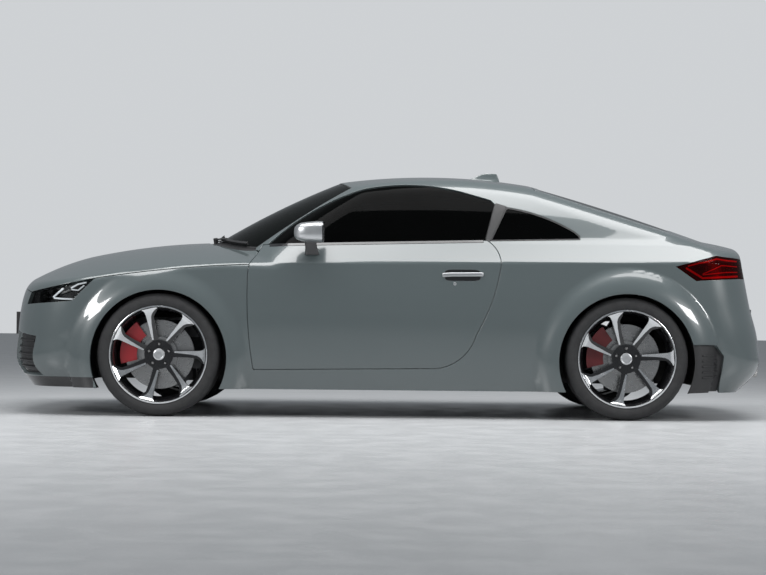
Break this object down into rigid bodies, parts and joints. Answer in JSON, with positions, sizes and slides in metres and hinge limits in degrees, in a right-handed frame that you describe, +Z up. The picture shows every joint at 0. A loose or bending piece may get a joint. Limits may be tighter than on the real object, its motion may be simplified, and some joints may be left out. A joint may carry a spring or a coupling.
{
  "type": "coupe car",
  "caption": "Full-size two-door coupe car with opening doors, bonnet and tailgate, steered front wheels, rolling wheels and a hollow cabin.",
  "frame": {"origin": "middle of the ground under the car's overall length and width", "axes": "X runs from nose to tail, Y from the left side to the right side, Z up"},
  "size_m": [4.1932, 2.028, 1.3779],
  "materials": {
    "body_paint": "gloss metallic grey with a slight green-blue tint",
    "glass": "dark tinted",
    "tyre": "satin black rubber",
    "wheel_alloy": "turned faces over gloss black",
    "brake_steel": "ground steel",
    "caliper_paint": "red",
    "cast_parts": "satin dark grey",
    "engine_metal": "as cast",
    "exhaust_steel": "brushed",
    "underbody": "matte black",
    "black_plastic": "black",
    "soft_plastic": "grained black",
    "seat_leather": "black",
    "lamp_glass": "clear over black housing",
    "lamp_red": "dark red",
    "mirror_metal": "brushed silver"
  },
  "bodies": {
    "body": {"corner_vents": "black_plastic", "cowl": "black_plastic", "dashboard": "soft_plastic", "diffuser": "black_plastic", "engine_block": "engine_metal", "exhaust": "exhaust_steel", "floor_pan": "underbody", "front_bumper": "body_paint", "front_intakes": "black_plastic", "front_seats": "seat_leather", "front_subframe": "cast_parts", "front_wing_left": "body_paint", "front_wing_right": "body_paint", "grille": "black_plastic", "headlamp_units": "black_plastic", "headlamps": "lamp_glass", "plate_holders": "black_plastic", "quarter_glasses": "glass", "radiator": "engine_metal", "rear_bumper": "body_paint", "rear_calipers": "caliper_paint", "rear_seats": "seat_leather", "rear_subframe": "cast_parts", "roof_panel": "body_paint", "side_panel_left": "body_paint", "side_panel_right": "body_paint", "tail_lamps": "lamp_red", "wheelhouses": "underbody", "windscreen": "glass"},
    "door_left": {"door_left": "body_paint", "door_glass_left": "glass", "mirror_left": "mirror_metal"},
    "door_right": {"door_right": "body_paint", "door_glass_right": "glass", "mirror_right": "mirror_metal"},
    "bonnet": {"bonnet": "body_paint"},
    "hatch": {"hatch": "body_paint", "hatch_glass": "glass"},
    "steering_wheel": {"steering_wheel": "soft_plastic"},
    "knuckle_left": {"knuckle_left": "cast_parts", "front_caliper_left": "caliper_paint"},
    "wheel_front_left": {"front_tyre_left": "tyre", "front_rim_left": "wheel_alloy", "front_disc_left": "brake_steel"},
    "wheel_rear_left": {"rear_tyre_left": "tyre", "rear_rim_left": "wheel_alloy", "rear_disc_left": "brake_steel"},
    "knuckle_right": {"knuckle_right": "cast_parts", "front_caliper_right": "caliper_paint"},
    "wheel_front_right": {"front_tyre_right": "tyre", "front_rim_right": "wheel_alloy", "front_disc_right": "brake_steel"},
    "wheel_rear_right": {"rear_tyre_right": "tyre", "rear_rim_right": "wheel_alloy", "rear_disc_right": "brake_steel"}
  },
  "joints": [
    {"name": "steer_left", "type": "hinge", "parent": "body", "child": "knuckle_left", "pos_m": [-1.2255, -0.75, 0.3305], "axis": [0, 0, 1], "range_deg": [-33, 33]},
    {"name": "steer_right", "type": "hinge", "parent": "body", "child": "knuckle_right", "pos_m": [-1.2255, 0.75, 0.3305], "axis": [0, 0, 1], "range_deg": [-33, 33]},
    {"name": "steering_wheel_turn", "type": "hinge", "parent": "body", "child": "steering_wheel", "pos_m": [-0.33, -0.37, 0.79], "axis": [0.9135, 0, 0.4067], "range_deg": [-470, 470]},
    {"name": "door_left_swing", "type": "hinge", "parent": "body", "child": "door_left", "pos_m": [-0.753, -0.893, 0.55], "axis": [0, 0, -1], "range_deg": [0, 65]},
    {"name": "door_right_swing", "type": "hinge", "parent": "body", "child": "door_right", "pos_m": [-0.753, 0.893, 0.55], "axis": [0, 0, 1], "range_deg": [0, 65]},
    {"name": "bonnet_lift", "type": "hinge", "parent": "body", "child": "bonnet", "pos_m": [-0.684, 0, 0.965], "axis": [0, 1, 0], "range_deg": [0, 50]},
    {"name": "hatch_lift", "type": "hinge", "parent": "body", "child": "hatch", "pos_m": [0.798, 0, 1.3], "axis": [0, -1, 0], "range_deg": [0, 70]},
    {"name": "spin_front_left", "type": "hinge", "parent": "knuckle_left", "child": "wheel_front_left", "pos_m": [-1.2255, -0.775, 0.3305], "axis": [0, 1, 0], "continuous": true},
    {"name": "spin_front_right", "type": "hinge", "parent": "knuckle_right", "child": "wheel_front_right", "pos_m": [-1.2255, 0.775, 0.3305], "axis": [0, 1, 0], "continuous": true},
    {"name": "spin_rear_left", "type": "hinge", "parent": "body", "child": "wheel_rear_left", "pos_m": [1.2795, -0.78, 0.3305], "axis": [0, 1, 0], "continuous": true},
    {"name": "spin_rear_right", "type": "hinge", "parent": "body", "child": "wheel_rear_right", "pos_m": [1.2795, 0.78, 0.3305], "axis": [0, 1, 0], "continuous": true}
  ],
  "couplings": [
    {"joint": "steer_right", "follows": "steer_left", "ratio": 1},
    {"joint": "steering_wheel_turn", "follows": "steer_left", "ratio": 14}
  ]
}
